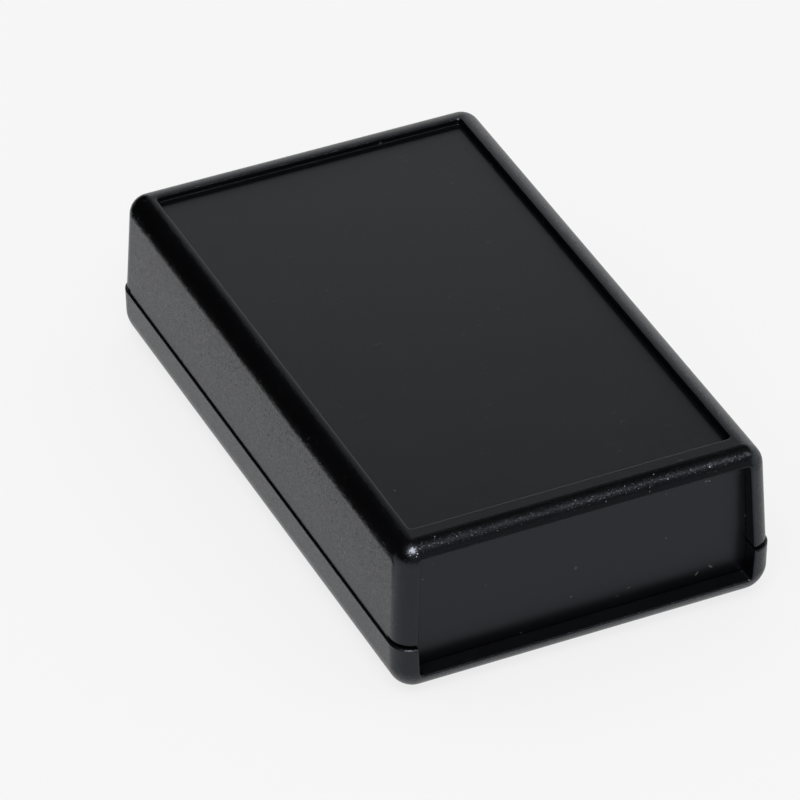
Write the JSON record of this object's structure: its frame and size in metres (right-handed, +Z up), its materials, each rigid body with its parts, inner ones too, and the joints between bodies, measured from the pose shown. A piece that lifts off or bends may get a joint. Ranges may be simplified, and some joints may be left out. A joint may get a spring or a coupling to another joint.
{
  "type": "plastic project box",
  "caption": "Hand-held plastic enclosure: shallow base, deeper cover with recessed top, end panels in slots, and screws up from below into the cover's bosses.",
  "frame": {"origin": "middle of the box's underside, at the level that it rests on", "axes": "+Y along the length, towards the rear panel; +X across the width; +Z up, from base to cover"},
  "size_m": [0.066, 0.112, 0.028],
  "materials": {
    "cover_plastic": "black moulded ABS, fine spark-eroded texture, smoother in the recess",
    "base_plastic": "black moulded ABS, fine spark-eroded texture",
    "panel_plastic": "black moulded ABS sheet, smooth matt",
    "screw_steel": "black oxide, oiled"
  },
  "bodies": {
    "base": {"base": "base_plastic", "front_panel": "panel_plastic", "rear_panel": "panel_plastic", "screw_front_left": "screw_steel", "screw_front_right": "screw_steel", "screw_rear_left": "screw_steel", "screw_rear_right": "screw_steel"},
    "cover": {"cover": "cover_plastic"}
  },
  "joints": [
    {"name": "cover_lift", "type": "slide", "parent": "base", "child": "cover", "axis": [0, 0, 1], "range_m": [0, 0.03]}
  ]
}
